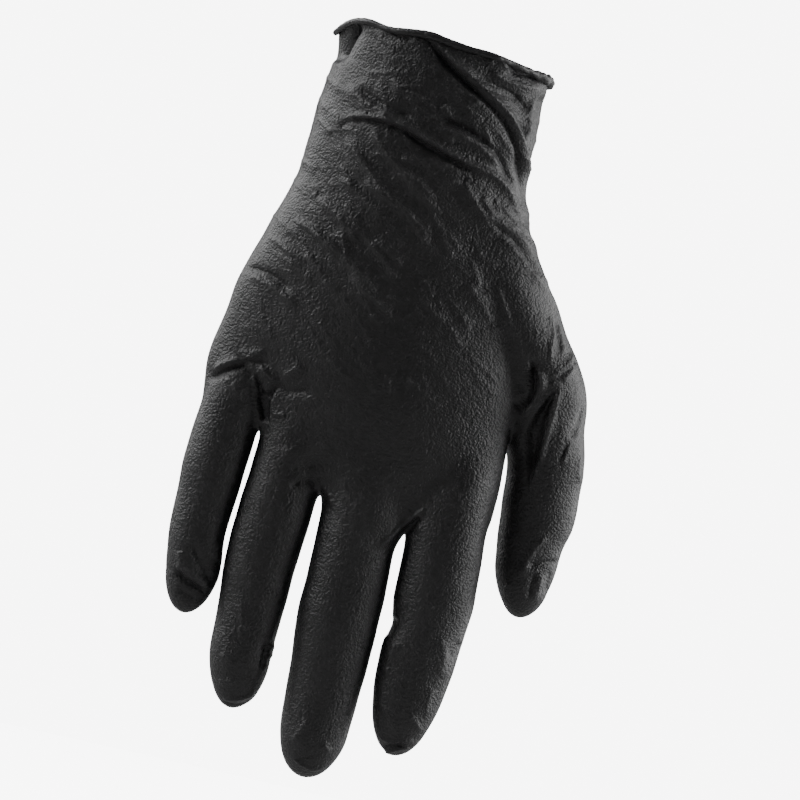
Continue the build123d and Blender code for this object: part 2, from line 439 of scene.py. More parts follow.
@dataclass
class SkinMaker:
    """Turns the field of the hand into a creased mesh.

    The film faces the back or the palm by the y of its outward direction, and turn_over is where one passes
    into the other. A fold is worked out as far off as reach times its width, fades over the shares in fade at
    its two ends, and gives its tone mark in full from the height full_crest: painted shade along a sunken
    fold, a lighter tone along a raised one.
    """

    shape: HandShape
    low: tuple[float, float, float] = (-57.0, -26.0, -243.5)
    high: tuple[float, float, float] = (79.0, 26.0, 6.5)
    relief: float = 1.5
    band: float = 2.6
    pulls: int = 3
    longest_pull: float = 0.5
    turn_over: tuple[float, float] = (-0.35, 0.3)
    reach: float = 5.0
    fade: tuple[float, float] = (0.22, 0.25)
    blunt: float = 0.3
    full_crest: float = 0.7
    slack_seed: int = 3
    slack_waves: tuple[float, ...] = (9.0, 12.0, 15.0, 19.0, 24.0, 31.0)
    slack_height: float = 0.0045

    def make(self, folds: tuple[Fold, ...], hollows: tuple[Hollow, ...]) -> Skin:
        """The whole skin, sunk at its hollows and creased along its folds."""
        skin = self.net()
        for _ in range(self.pulls):
            value, slope = self.gradient(skin.points)
            skin.points -= slope * np.clip(value, -self.longest_pull, self.longest_pull)[:, None]
        _, skin.normals = self.gradient(skin.points)
        rise, skin.shade_mark = self.creases(skin.points, skin.normals, folds)
        front = smooth_step(-0.1, 0.3, -skin.normals[:, 1])
        for hollow in hollows:
            sunk = hollow.sink(skin.points[:, 0], skin.points[:, 2]) * front
            rise -= hollow.depth * sunk
            # painted shade: each hollow darkens the film's tone as well as sinking it
            skin.shade_mark -= sunk
        skin.shade_mark = np.clip(skin.shade_mark, -1, 1)
        skin.points = skin.points + skin.normals * rise[:, None]
        skin.normals = self.face_normals(skin)
        return skin

    def net(self) -> Skin:
        """A net of four-sided faces over the zero level of the field.

        Each cell that the film passes through gets one point, the mean of
        where its edges cross the film, and each grid edge that crosses it gets
        one face through its four cells.
        """
        cell = self.shape.cell
        value = self.sample(cell)
        inside = value < 0
        counts = tuple(n - 1 for n in value.shape)
        total, hits = np.zeros((*counts, 3), np.float32), np.zeros(counts, np.float32)
        crossings = []
        for axis in range(3):
            a = np.moveaxis(value, axis, 0)
            share = np.zeros_like(value)
            first, second = a[:-1], a[1:]
            crossed = np.moveaxis(inside, axis, 0)[:-1] != np.moveaxis(inside, axis, 0)[1:]
            moved = np.moveaxis(share, axis, 0)
            with np.errstate(divide="ignore", invalid="ignore"):
                moved[:-1] = np.where(crossed, first / (first - second), 0)
            hit = np.zeros(value.shape, bool)
            np.moveaxis(hit, axis, 0)[:-1] = crossed
            crossings.append(hit)
            others = [k for k in range(3) if k != axis]
            for i in (0, 1):
                for j in (0, 1):
                    cut = [slice(0, -1)] * 3
                    cut[others[0]] = slice(i, counts[others[0]] + i)
                    cut[others[1]] = slice(j, counts[others[1]] + j)
                    here = hit[tuple(cut)]
                    hits += here
                    total[..., axis] += share[tuple(cut)]
                    total[..., others[0]] += here * i
                    total[..., others[1]] += here * j
        used = hits > 0
        number = np.full(counts, -1, np.int64)
        number[used] = np.arange(used.sum())
        corner = np.argwhere(used)
        points = (corner + total[used] / hits[used][:, None]) * cell + np.array(self.low)
        faces = []
        for axis in range(3):
            u, v = (axis + 1) % 3, (axis + 2) % 3
            where = np.argwhere(crossings[axis])
            keep = np.all((where[:, [u, v]] > 0) & (where[:, [u, v]] < np.array(counts)[[u, v]]), axis=1)
            where = where[keep]
            around = []
            for du, dv in ((-1, -1), (0, -1), (0, 0), (-1, 0)):
                step = where.copy()
                step[:, u] += du
                step[:, v] += dv
                around.append(number[tuple(step.T)])
            quad = np.stack(around, axis=1)
            outward = inside[tuple(where.T)]
            faces.append(np.where(outward[:, None], quad, quad[:, ::-1]))
        quads = np.concatenate(faces)
        return Skin(points.astype(float), quads)

    def sample(self, cell: float) -> np.ndarray:
        """The field on the whole grid, worked out closely only near the film.

        A grid of double the cell is worked out first, and each of its values
        is repeated. Where one is within band of the film, the fine points
        round it are worked out again.

        Args:
            cell: the fine grid's spacing.

        Returns:
            The field at each fine point.
        """
        half = [int((hi - lo) / (2 * cell)) for lo, hi in zip(self.low, self.high)]
        axes = [lo + 2 * cell * np.arange(n, dtype=np.float32) for lo, n in zip(self.low, half)]
        rough, _ = self.shape.skin(*np.meshgrid(*axes, indexing="ij", sparse=True))
        value = rough.astype(np.float32)
        for axis in range(3):
            value = np.repeat(value, 2, axis=axis)
        close = np.flatnonzero(np.abs(value) < self.band)
        where = np.unravel_index(close, value.shape)
        spots = [lo + cell * k.astype(np.float32) for lo, k in zip(self.low, where)]
        value.ravel()[close], _ = self.shape.skin(*spots)
        return value

    def gradient(self, points: np.ndarray) -> tuple[np.ndarray, np.ndarray]:
        """The field at each point over its steepness, and the outward direction there."""
        step = 0.12
        value, _ = self.shape.skin(*points.T)
        sides = []
        for axis in range(3):
            shift = np.zeros(3)
            shift[axis] = step
            ahead, _ = self.shape.skin(*(points + shift).T)
            behind, _ = self.shape.skin(*(points - shift).T)
            sides.append((ahead - behind) / (2 * step))
        slope = np.stack(sides, axis=1)
        steep = np.linalg.norm(slope, axis=1) + 1e-9
        return value / steep, slope / steep[:, None]

    def creases(
        self, points: np.ndarray, normals: np.ndarray, folds: tuple[Fold, ...]
    ) -> tuple[np.ndarray, np.ndarray]:
        """How far the folds raise each point, and the tone mark there: painted shade along sunken folds, a
        lighter tone along raised ones, strongest close to the line.

        A fold's height is its own times e to the minus distance over width,
        blunted at the line, with a wider slope on its lower side, faded
        towards its two ends and kept to the back or the palm by the way the
        film faces. A slight unevenness of the loose film is added.

        Args:
            points: places on the smooth film.
            normals: the film's outward directions there.
            folds: the lines to raise or sink.

        Returns:
            The rise at each point, and the tone mark from -1 to 1: painted shade below zero, a lighter tone
            above.
        """
        x, z = points[:, 0], points[:, 2]
        back = smooth_step(*self.turn_over, -normals[:, 1])
        rise, shade_mark = self.slack(points), np.zeros(len(points))
        sides = {False: np.flatnonzero(back > 0.01), True: np.flatnonzero(back < 0.99)}
        for fold in folds:
            line, ahead, share = fold.path()
            reach = self.reach * fold.width * fold.lean
            side = sides[fold.palm]
            low, high = line.min(axis=0) - reach, line.max(axis=0) + reach
            near = side[(x[side] > low[0]) & (x[side] < high[0]) & (z[side] > low[1]) & (z[side] < high[1])]
            if not len(near):
                continue
            off_x = (x[near, None] - line[:, 0]).astype(np.float32)
            off_z = (z[near, None] - line[:, 1]).astype(np.float32)
            gaps = off_x**2 + off_z**2
            best = gaps.argmin(axis=1)
            row = np.arange(len(near))
            gap = np.sqrt(gaps[row, best])
            above = ahead[best, 0] * off_z[row, best] - ahead[best, 1] * off_x[row, best]
            width = np.where(above > 0, fold.width, fold.width * fold.lean)
            ends = smooth_step(0, self.fade[0], share[best]) * smooth_step(0, self.fade[1], 1 - share[best])
            blunt = self.blunt * fold.width
            shape = np.exp(-(np.sqrt(gap**2 + blunt**2) - blunt) / width) * ends
            face = 1 - back[near] if fold.palm else back[near]
            rise[near] += self.relief * fold.height * shape * face
            strength = min(1.0, abs(fold.height) / self.full_crest)
            # painted shade: sunken folds darken the film's tone along their line, raised folds lighten it
            shade_mark[near] += np.sign(fold.height) * strength * shape**2 * face
        return rise, np.clip(shade_mark, -1, 1)

    def slack(self, points: np.ndarray) -> np.ndarray:
        """A slight unevenness of loose film: a sum of seeded plane waves, larger at the cuff."""
        rng = np.random.default_rng(self.slack_seed)
        total = np.zeros(len(points))
        for long in self.slack_waves:
            way = rng.normal(size=3)
            way *= 2 * np.pi / long / np.linalg.norm(way)
            total += self.slack_height * long * np.sin(points @ way + rng.uniform(0, 2 * np.pi))
        return total * (0.7 + 0.9 * smooth_step(-60, -10, points[:, 2]))

    @staticmethod
    def face_normals(skin: Skin) -> np.ndarray:
        """The mean direction of the faces round each point."""
        a, b, c, d = (skin.points[skin.quads[:, i]] for i in range(4))
        across = np.cross(c - a, d - b)
        sums = np.zeros_like(skin.points)
        for i in range(4):
            for axis in range(3):
                sums[:, axis] += np.bincount(skin.quads[:, i], across[:, axis], len(sums))
        return sums / (np.linalg.norm(sums, axis=1)[:, None] + 1e-12)


def cuff_folds() -> tuple[Fold, ...]:
    """The cuff's drapes: two deep loops, the crumple on the thumb's side and the slack above the wrist."""
    return (
        Fold(((-30.2, 2.2), (-31.7, -1.9), (-33, -6.3), (-33.8, -10.2), (-34.3, -13.3)), -3.6, 1.5),
        Fold(
            ((-11.6, 0.6), (-8, 1.2), (-4.7, -1.1), (-0.1, -4.8), (6.3, -9.1), (12.5, -12.7),
             (19.7, -17.2), (24.7, -21.4), (28.7, -26.6), (31.9, -33.3), (34.8, -40.1), (37.8, -46.9)),
            -1.7,
            0.75,
        ),
        Fold(
            ((-4.1, 0.7), (1.5, -3), (7.8, -7), (14.8, -10.8), (21.6, -15), (26.9, -19.2),
             (31.1, -25.4), (34.6, -34.1), (37.5, -42.9)),
            1.3,
            1.1,
        ),
        Fold(((8.2, -11.7), (15.9, -15.3), (21.6, -19.4), (26.3, -25.1), (29.7, -31.1)), 0.8, 1.1),
        Fold(((24.8, -16), (29.4, -21), (33.3, -27.6), (35.7, -35.2)), -0.8, 0.6),
        Fold(((-30.1, -19.2), (-25.5, -21.5), (-20.9, -23.8), (-14.5, -25), (-8.7, -26.4)), 0.9, 1.5),
        Fold(((-24.9, -18), (-21.4, -21.2), (-16.3, -22.8), (-9.9, -24.3), (-3.6, -25.2)), -0.8, 0.9),
        Fold(
            ((-30, -35.4), (-29.7, -32.6), (-26.3, -29.8), (-20.5, -28.1), (-13.9, -27.6),
             (-6.8, -28.7), (0.5, -31.1), (10, -34), (19.3, -36.2), (25.1, -37.6), (29.7, -41.3),
             (33.1, -46), (36.9, -50.5), (42.1, -55.4)),
            1.2,
            1.1,
        ),
        Fold(
            ((-28.9, -34.5), (-26.6, -31.4), (-20.9, -29.5), (-14.9, -29), (-7.9, -29.8),
             (-0.5, -32.4), (9.7, -35.5), (18.4, -38), (23.4, -39.1)),
            -1.2,
            0.8,
        ),
        Fold(
            ((-2.9, -25.1), (3.5, -23.6), (9.8, -24.2), (16.4, -26.4), (22.7, -30), (27.5, -35),
             (32.1, -41.4)),
            -1.1,
            0.8,
        ),
        Fold(((2.2, -26.6), (10.4, -26.8), (17.7, -29.2), (23.3, -32.6), (26.9, -36.5)), 0.8, 1.4),
        Fold(((-8.3, -39.9), (-2.6, -38.1), (4.6, -37.3), (12.3, -37.9), (19.1, -38.3)), 0.35, 0.7),
        Fold(((33.5, -6.5), (34.2, -11.1), (34.1, -17.9), (32.2, -25.8)), -1.2, 0.9),
        Fold(((30.7, -10.5), (30.9, -17.3), (31.1, -24)), 0.8, 0.9),
        Fold(((35.1, -19), (34.3, -24.6), (33.9, -30.2)), 0.6, 0.8),
        Fold(((6.1, -8.1), (10.9, -8.3), (17.8, -8.9), (24.9, -10.5), (29.1, -12.3)), -0.6, 0.6),
        Fold(((10.2, -11.2), (18.3, -11), (23.8, -11.6), (28.4, -12.1)), -0.5, 0.5),
        Fold(((13, -3.1), (15.9, -0.7), (19.2, -1.7), (23.4, -3.8)), 0.8, 0.8),
        Fold(((19.3, -1), (23.9, -3.3), (28.7, -3.2), (33.6, -3.8)), -1.2, 0.8),
        Fold(((24.8, -9.9), (28.3, -13.1), (30.3, -14.7)), -0.6, 0.6),
        Fold(((29.4, -13.6), (31.5, -9.7), (33.4, -5.9)), 0.6, 0.7),
        Fold(((14.1, -4.9), (19.9, -6.3), (25.5, -7), (33.4, -5.9)), 0.7, 0.8),
        Fold(((-22.5, 0.9), (-21.1, -2.2), (-17.1, -4.6), (-15.3, -6.6)), 0.4, 0.5),
        Fold(((-19.7, 0.6), (-15.3, -0.8), (-10.7, -0.1)), -0.5, 0.5),
        Fold(((2.2, -20.9), (5.2, -17.8)), 0.3, 0.5),
        Fold(((9.6, -17.5), (14.7, -14.6)), 0.3, 0.5),
        Fold(((-26.4, -35.3), (-20.5, -40), (-14.5, -45.4), (-8.5, -50.8), (-5.2, -53.4)), 0.8, 1.2),
        Fold(((-30.4, -55.9), (-24.1, -59.8), (-17.6, -64.4), (-12.7, -68.1)), 0.7, 1.1),
        Fold(((-36.5, -64.7), (-30.6, -66.8), (-24.4, -70.1), (-18.2, -73.4)), 0.6, 1),
        Fold(((-6.6, -41.6), (-0.1, -46.2), (6.4, -50.8), (11, -53.1)), 0.6, 1),
        Fold(((-18.4, -31.4), (-13.4, -35.7), (-8.3, -39.9), (-2, -43.9)), 0.5, 1),
        Fold(((15.7, -43.9), (23.9, -50.1), (31.4, -53.1), (38.9, -56.2), (43.8, -59.8)), 0.6, 1.2),
    )


def wrist_folds() -> tuple[Fold, ...]:
    """The slanting wrinkles of the wrist and the back of the hand."""
    return (
        Fold(((-28, -57), (-18.6, -61.3), (-9.9, -66.8), (-3, -72.6), (3, -80.1)), 0.55, 1),
        Fold(((-33.7, -64.8), (-24.3, -69.2), (-15.6, -74.6), (-8.8, -79.6), (-1, -85.2)), 0.55, 1),
        Fold(((-9.2, -65.7), (-2.9, -68.9), (2.8, -73.2)), 0.45, 0.9),
        Fold(((-18, -48.1), (-9.9, -50.9), (-1.5, -54.6), (5, -58.7)), 0.5, 1),
        Fold(((-5.5, -41.5), (1.9, -45.4), (7.6, -49.7)), 0.5, 0.9),
        Fold(((-25.5, -48), (-16.9, -52.5), (-10.4, -56.6), (-4.1, -59.8)), 0.4, 0.9),
        Fold(((-47.6, -83.4), (-41.5, -83.6), (-35.4, -85.7), (-30.9, -88.9)), -0.7, 0.8),
        Fold(((-47.2, -85.2), (-40.7, -87), (-33.6, -89.5), (-27.2, -93.2)), 0.6, 0.9),
        Fold(((-39.4, -76.4), (-31.1, -80.1), (-23.7, -84)), 0.35, 0.8),
        Fold(((-44.2, -71.9), (-36.1, -74.7), (-27.8, -78.4)), 0.35, 0.8),
        Fold(((-32.8, -52.5), (-30.4, -54.7), (-31.6, -57.8)), 0.35, 0.6),
        Fold(
            ((18.8, -41.5), (23.9, -47.8), (30.3, -51), (37, -55.9), (42.9, -61.1), (48.3, -68.3),
             (54.1, -75.3), (59.9, -84.3)),
            0.7,
            1,
        ),
        Fold(((25.8, -43.6), (31.6, -48.8), (38.2, -52.9), (45.5, -60.5)), 0.6, 0.8),
        Fold(((27.6, -55.3), (34.8, -58.3), (42.8, -64.9), (49.8, -70.7)), 0.6, 0.8),
        Fold(((24.8, -51.3), (32.1, -54.8), (40, -60.9), (46.1, -66.9)), -0.5, 0.7),
        Fold(((22.2, -72.4), (27.6, -75.8), (33.8, -78.2)), 0.35, 1.2),
        Fold(((22.9, -83.5), (28.9, -85.3)), 0.3, 0.8),
        Fold(((8.6, -78.4), (14.5, -83.5), (21, -87.6)), 0.3, 1.2),
        Fold(((-4.8, -88.9), (-0.2, -92.5)), 0.3, 0.9),
        Fold(((-14.6, -79), (-6, -83.6), (2.9, -89.9)), 0.4, 1),
    )


def little_root_folds() -> tuple[Fold, ...]:
    """The creases round the little finger's root, which run together at its web."""
    return (
        Fold(((-51.5, -121.9), (-48.3, -118.8), (-43.4, -115.8), (-38.2, -113.4)), -1.2, 0.7),
        Fold(((-51.4, -119.5), (-47.2, -115.5), (-41.4, -112.5), (-35.4, -110)), 0.6, 0.8),
        Fold(((-44.7, -112.1), (-39.4, -112.8), (-34.8, -112.5), (-31.4, -113.3)), -0.6, 0.5),
        Fold(((-36.1, -113), (-32.1, -116.2), (-28.9, -118)), 0.7, 0.7),
        Fold(
            ((-31.4, -121.6), (-28.4, -119.2), (-24.6, -119.6), (-20.4, -118.6), (-16.2, -119.1)),
            -0.65,
            0.8,
        ),
        Fold(((-47.1, -120.1), (-42.2, -120.9), (-37.4, -123.5)), 0.5, 0.8),
        Fold(((-43.3, -110), (-39.1, -109.9), (-34.9, -108)), 0.4, 0.6),
        Fold(((-22.4, -109.8), (-25.3, -113.3), (-28.3, -116.3)), 0.4, 1.2),
        Fold(((-40.7, -115.4), (-38.1, -116.7), (-37, -118.3)), -0.5, 0.6),
    )


def thumb_folds() -> tuple[Fold, ...]:
    """The thumb's root crease, the deep hollow beside it, its long folds and its tip."""
    return (
        Fold(
            ((47.6, -92.1), (50.4, -94.2), (51.9, -98.2), (52.3, -102.4), (51.1, -106.3), (49.4, -109.9)),
            -1.6,
            1.1,
        ),
        Fold(
            ((50.1, -92.1), (52.3, -95.2), (53.5, -99.2), (53.3, -103.6), (51.9, -108.3), (51.3, -112)),
            0.8,
            0.9,
        ),
        Fold(((46.3, -107.5), (48.7, -106.1), (50, -102.9)), -0.5, 0.45),
        Fold(((47.6, -108.3), (49.5, -107.5)), -0.4, 0.45),
        Fold(((47.1, -103.2), (49.4, -103.8), (50.5, -105.3)), 0.5, 0.5),
        Fold(((59.8, -97.9), (57.9, -104.7), (56.4, -112.3), (56.4, -120.2), (57.2, -128)), -0.6, 2.2),
        Fold(((59.9, -96.9), (60.1, -104.2), (59.8, -112.2), (59.3, -119.5), (59.6, -126)), 0.9, 0.7),
        Fold(((61.8, -86.5), (60.4, -91.9), (55.7, -98.2)), 0.7, 0.8),
        Fold(((63.2, -89.4), (61.9, -93.7), (60.1, -96.9)), 0.6, 0.6),
        Fold(((61.9, -90.8), (58.9, -94.8), (55.1, -98.9)), -0.6, 0.6),
        Fold(((68.8, -101.5), (69.3, -108.6), (67.4, -114.1), (66.1, -119.8), (65.6, -125.3)), -0.7, 0.8),
        Fold(((67.6, -111.8), (66.9, -118.5), (66.3, -123.7)), 0.6, 0.8),
        Fold(((71.7, -117.4), (72.1, -123.1), (74.1, -128.4)), 0.4, 0.6),
        Fold(((51.3, -76), (54.2, -81.8), (54.5, -88.2), (55.9, -92.2)), 0.4, 0.5),
        Fold(((54.6, -78.1), (57.7, -84.6), (59.4, -88.5)), 0.4, 0.5),
        Fold(((53.1, -77.7), (56.4, -84.1), (57.7, -89.6)), -0.4, 0.5),
        Fold(((52.8, -94.4), (54.4, -98.3), (54.2, -102.7)), 0.4, 0.6),
        Fold(((62.5, -157.5), (65.4, -156.1), (69.5, -154.7), (73.2, -153.4)), -0.7, 0.5),
        Fold(((67.7, -145.7), (64.3, -151.2), (62.5, -157.2), (62, -162.2)), 0.55, 0.9),
        Fold(((66.3, -158.3), (65.7, -163.5), (65.9, -168.1)), -0.5, 0.6),
        Fold(((68.2, -158.6), (68.3, -163.6), (67.7, -168.8)), 0.4, 0.7),
        Fold(((71.3, -156.4), (71, -161.6), (71.5, -166.5)), -0.35, 0.7),
        Fold(((59.3, -163.4), (58.3, -165.2), (58.2, -168.5)), 0.3, 0.5),
        Fold(((49.8, -116.5), (52.9, -121)), 0.35, 0.5),
    )


def little_and_ring_folds() -> tuple[Fold, ...]:
    """The webs and the slack tips of the little and ring fingers."""
    return (
        Fold(((-45.1, -173.8), (-41.2, -179.5), (-37.4, -183.6), (-34.6, -185.8)), -0.9, 1.1),
        Fold(((-48, -183.8), (-44.8, -186), (-40, -187.8), (-35.7, -189.4)), -1.1, 0.8),
        Fold(((-47.3, -181.9), (-43.9, -183.7), (-38.8, -186.1), (-34.9, -187.5)), 0.7, 0.8),
        Fold(((-46.2, -189.8), (-42.9, -191), (-38.7, -192)), -0.6, 0.8),
        Fold(((-36.2, -171.4), (-36, -176.1), (-34.1, -179.2)), 0.5, 0.6),
        Fold(((-48.2, -177.5), (-46.7, -180.7), (-47, -184.4)), 0.35, 0.8),
        Fold(((-43.6, -120.8), (-41.1, -123.2), (-39.3, -126)), 0.5, 0.9),
        Fold(((-28.3, -127.6), (-26.2, -127.6), (-24, -127.6)), 0.4, 0.6),
        Fold(((-17.7, -150.4), (-15.4, -147.7), (-11.8, -146.2), (-7.9, -146.5)), -0.6, 0.7),
        Fold(((-22.1, -149.8), (-15.1, -142.8), (-7.4, -138.6), (-0.7, -136.2)), -0.35, 2),
        Fold(((-24.5, -139.5), (-14.9, -137.3), (-7.3, -132.7)), 0.35, 1.5),
        Fold(((-7.6, -146.6), (-4.9, -148.7), (-2.4, -153.2)), 0.4, 0.5),
        Fold(((-13.2, -200.2), (-13.1, -205.8), (-13.4, -210.2)), -0.8, 0.7),
        Fold(((-12.6, -200.6), (-11, -201.9), (-11.4, -205.7)), 0.5, 0.6),
        Fold(((-26.4, -216.1), (-23.5, -215.7), (-20.8, -214.2)), 0.35, 0.5),
        Fold(((-24.4, -221.2), (-20.1, -220.9), (-15.6, -218.7), (-13.2, -215.9)), 0.55, 0.5),
        Fold(((-23.4, -222.4), (-18.3, -222.5), (-14.9, -220.3)), -0.45, 0.5),
        Fold(((-27.6, -207.3), (-24.5, -208.4), (-22.5, -210.5)), 0.25, 0.8),
        Fold(((-25.2, -188), (-22.9, -194.7), (-21.7, -201.6)), 0.3, 0.9),
    )


def middle_and_index_folds() -> tuple[Fold, ...]:
    """The slanting fold between the middle and index fingers, and their tips."""
    return (
        Fold(
            ((14, -163.2), (17.1, -158.4), (20, -153.8), (23.2, -150.4), (25.5, -147.8), (28.6, -143.9)),
            0.85,
            0.8,
        ),
        Fold(((22.4, -155.4), (23.7, -152.4), (26.2, -149.4)), -0.7, 0.7),
        Fold(((24.6, -150.8), (26.4, -152.5), (25.9, -155)), 0.35, 0.5),
        Fold(((6, -146.5), (5.3, -149.3), (4.6, -152.3)), 0.25, 0.4),
        Fold(((25.4, -182.8), (24.3, -186.3), (23.6, -190.5)), -0.9, 0.8),
        Fold(((27.7, -189.5), (26.4, -196.4), (26.6, -203.6)), 0.5, 0.9),
        Fold(((40.9, -185.1), (43.4, -192.4), (43.1, -199.7)), 0.5, 1.5),
        Fold(((26.6, -210.8), (30.1, -214.6), (34.7, -219.6)), 0.3, 0.5),
        Fold(((36.1, -212.2), (39.3, -214.7), (42, -217.7)), 0.35, 0.8),
        Fold(((27.8, -221.7), (32, -222.8), (37, -221.5), (41.5, -221.1)), 0.4, 0.5),
        Fold(((31, -227), (35.1, -224.7), (40, -222.7)), 0.6, 0.5),
        Fold(((29.6, -225.2), (33.5, -223.8), (37.8, -222.4)), -0.5, 0.5),
        Fold(((5.7, -221.4), (3.2, -226), (1.5, -230.5)), 0.4, 0.7),
        Fold(((1, -233.8), (5.5, -236), (10.3, -236.9), (15, -234.5)), 0.4, 0.5),
        Fold(((4, -235.2), (8.1, -233.3), (12.4, -231)), -0.3, 0.5),
        Fold(((11.8, -227.7), (14.2, -230.9)), 0.4, 0.6),
        Fold(((47.6, -186.2), (45.8, -188.6), (45, -192.1)), -0.4, 0.7),
        Fold(((42.3, -201.9), (41.6, -207.3), (42.1, -212.5)), 0.3, 0.9),
    )


def hollows() -> tuple[Hollow, ...]:
    """The hollow between the thumb and its root crease, and the one at the little finger's web; both are sunk
    and darkened with painted shade.
    """
    outline = (
        (59.8, -97.4), (56.8, -102.4), (53.4, -108.4), (51.6, -114.6), (52.2, -119.4), (54, -124.6),
        (56, -130), (57.8, -135), (59, -128), (59.5, -120), (60, -112), (60.3, -104),
    )
    web = (
        (-37.4, -114.8), (-34.6, -124.7), (-31.8, -131.5), (-28.6, -131), (-29.5, -123.6), (-28.3, -118),
        (-32, -121.4), (-35.6, -116.2),
    )
    return (Hollow(outline, 2.1, 3.0), Hollow(web, 1.7, 1.5))


def back_folds() -> tuple[Fold, ...]:
    """The drawn folds on the back of the hand, region by region."""
    return (
        cuff_folds()
        + wrist_folds()
        + little_root_folds()
        + thumb_folds()
        + little_and_ring_folds()
        + middle_and_index_folds()
    )


def loose_line(x: float, z: float, long: float, turn: float, bow: float) -> tuple[tuple[float, float], ...]:
    """Four points of a bowed line that starts at x and z and leaves at the angle turn.

    At the share t of its length it has come long times t along the angle turn + bow t.
    """
    t = np.linspace(0, 1, 4)
    angle = turn + bow * t
    line = np.stack([x + long * t * np.cos(angle), z + long * t * np.sin(angle)], axis=1)
    return tuple(map(tuple, line.tolist()))


@dataclass(frozen=True)
class FineFolds:
    """Fine slack wrinkles, thickest at the wrist, drawn from a seeded generator."""

    seed: int = 5
    count: int = 190
    top: float = -14.0
    tall: float = 92.0
    heights: tuple[float, float] = (0.1, 0.34)
    widths: tuple[float, float] = (0.4, 0.85)
    leans: tuple[float, float] = (1.2, 2.2)

    def build(self) -> tuple[Fold, ...]:
        """The wrinkles.

        Each one starts at a drawn place, runs down towards the thumb's side
        with a slight bow, and its size falls with its distance below the wrist.
        """
        rng = np.random.default_rng(self.seed)
        made = []
        for _ in range(self.count):
            z = self.top - self.tall * rng.random() ** 1.25
            x = rng.uniform(-46, 40)
            turn = -rng.uniform(0.45, 0.95) if rng.random() < 0.86 else rng.uniform(0.0, 0.5)
            long = rng.uniform(5, 17)
            line = loose_line(x, z, long, turn, rng.uniform(-0.35, 0.25))
            height = rng.uniform(*self.heights) * (1.1 + z / 260)
            made.append(Fold(line, height, rng.uniform(*self.widths), rng.uniform(*self.leans)))
        return tuple(made)


def palm_folds(seed: int = 11, count: int = 46) -> tuple[Fold, ...]:
    """The folds of the palm side: three long creases, loose wrinkles, and one crease at each finger's bend.

    The loose wrinkles run down and outwards from the wrist. Each one starts
    at a place, turns and takes a size drawn from a seeded generator.

    Args:
        seed: the generator's seed.
        count: how many loose wrinkles there are.

    Returns:
        All the folds of the palm side.
    """
    creases = (
        Fold(((46, -104), (30, -98), (12, -100), (-2, -110), (-10, -124)), -0.9, 1.2, 1.6, True),
        Fold(
            ((-50, -108), (-34, -112), (-16, -120), (4, -128), (24, -131), (44, -128)),
            -0.8,
            1.2,
            1.6,
            True,
        ),
        Fold(((18, -66), (22, -80), (30, -94), (40, -104)), -0.7, 1.4, 1.8, True),
    )
    bends = (
        (-43, -158, 9), (-21, -180, 10), (7, -188, 12), (36, -184, 11), (-43, -143, 9), (-20, -160, 10),
        (7, -164, 12), (35.5, -164, 11), (7, -213, 10), (35, -205, 10), (-21, -201, 9), (-43, -176, 8),
        (62, -149, 10),
    )
    rng = np.random.default_rng(seed)
    loose = []
    for _ in range(count):
        x, z = rng.uniform(-40, 34), rng.uniform(-112, -8)
        turn = rng.uniform(-1.1, -0.35) if rng.random() < 0.7 else rng.uniform(0.2, 0.8)
        long = rng.uniform(12, 34)
        line = loose_line(x, z, long, turn, rng.uniform(-0.25, 0.25))
        loose.append(Fold(line, rng.uniform(0.25, 0.75), rng.uniform(0.9, 1.6), rng.uniform(1.3, 2.4), True))
    for x, z, wide in bends:
        loose.append(Fold(((x - wide, z + 1), (x, z - 0.8), (x + wide, z + 1)), -0.45, 0.9, 1.4, True))
    return creases + tuple(loose)


class Term:
    """A number in a shader, so that sums are written as plain expressions."""

    def __init__(self, paint: "Paint", socket: bpy.types.NodeSocket) -> None:
        """Wraps one output socket."""
        self.paint = paint
        self.socket = socket

    def _maths(self, operation: str, *values: object) -> "Term":
        """Adds one Math node."""
        return self.paint.node("ShaderNodeMath", {"operation": operation}, dict(enumerate(values)))

    def __add__(self, other: object) -> "Term":
        """self + other."""
        return self._maths("ADD", self, other)

    def __mul__(self, other: object) -> "Term":
        """self * other."""
        return self._maths("MULTIPLY", self, other)


class Paint:
    """A material being put together from nodes."""

    def __init__(self, name: str) -> None:
        """An empty material with its output."""
        self.material = bpy.data.materials.new(name)
        self.material.use_nodes = True
        self.tree = self.material.node_tree
        self.tree.nodes.clear()

    def node(
        self, kind: str, settings: dict[str, object], inputs: dict[object, object], out: object = 0
    ) -> Term:
        """Adds one node.

        Args:
            kind: the node's type.
            settings: its own properties, set first.
            inputs: a value or a Term for each socket, by name or number.
            out: which output to return.

        Returns:
            That output.
        """
        made = self.tree.nodes.new(kind)
        for key, value in settings.items():
            setattr(made, key, value)
        for key, value in inputs.items():
            if isinstance(value, Term):
                self.tree.links.new(value.socket, made.inputs[key])
            else:
                made.inputs[key].default_value = value
        return Term(self, made.outputs[out])

    def finish(self, shader: Term) -> None:
        """Joins the shader to the material's output."""
        made = self.tree.nodes.new("ShaderNodeOutputMaterial")
        self.tree.links.new(shader.socket, made.inputs["Surface"])


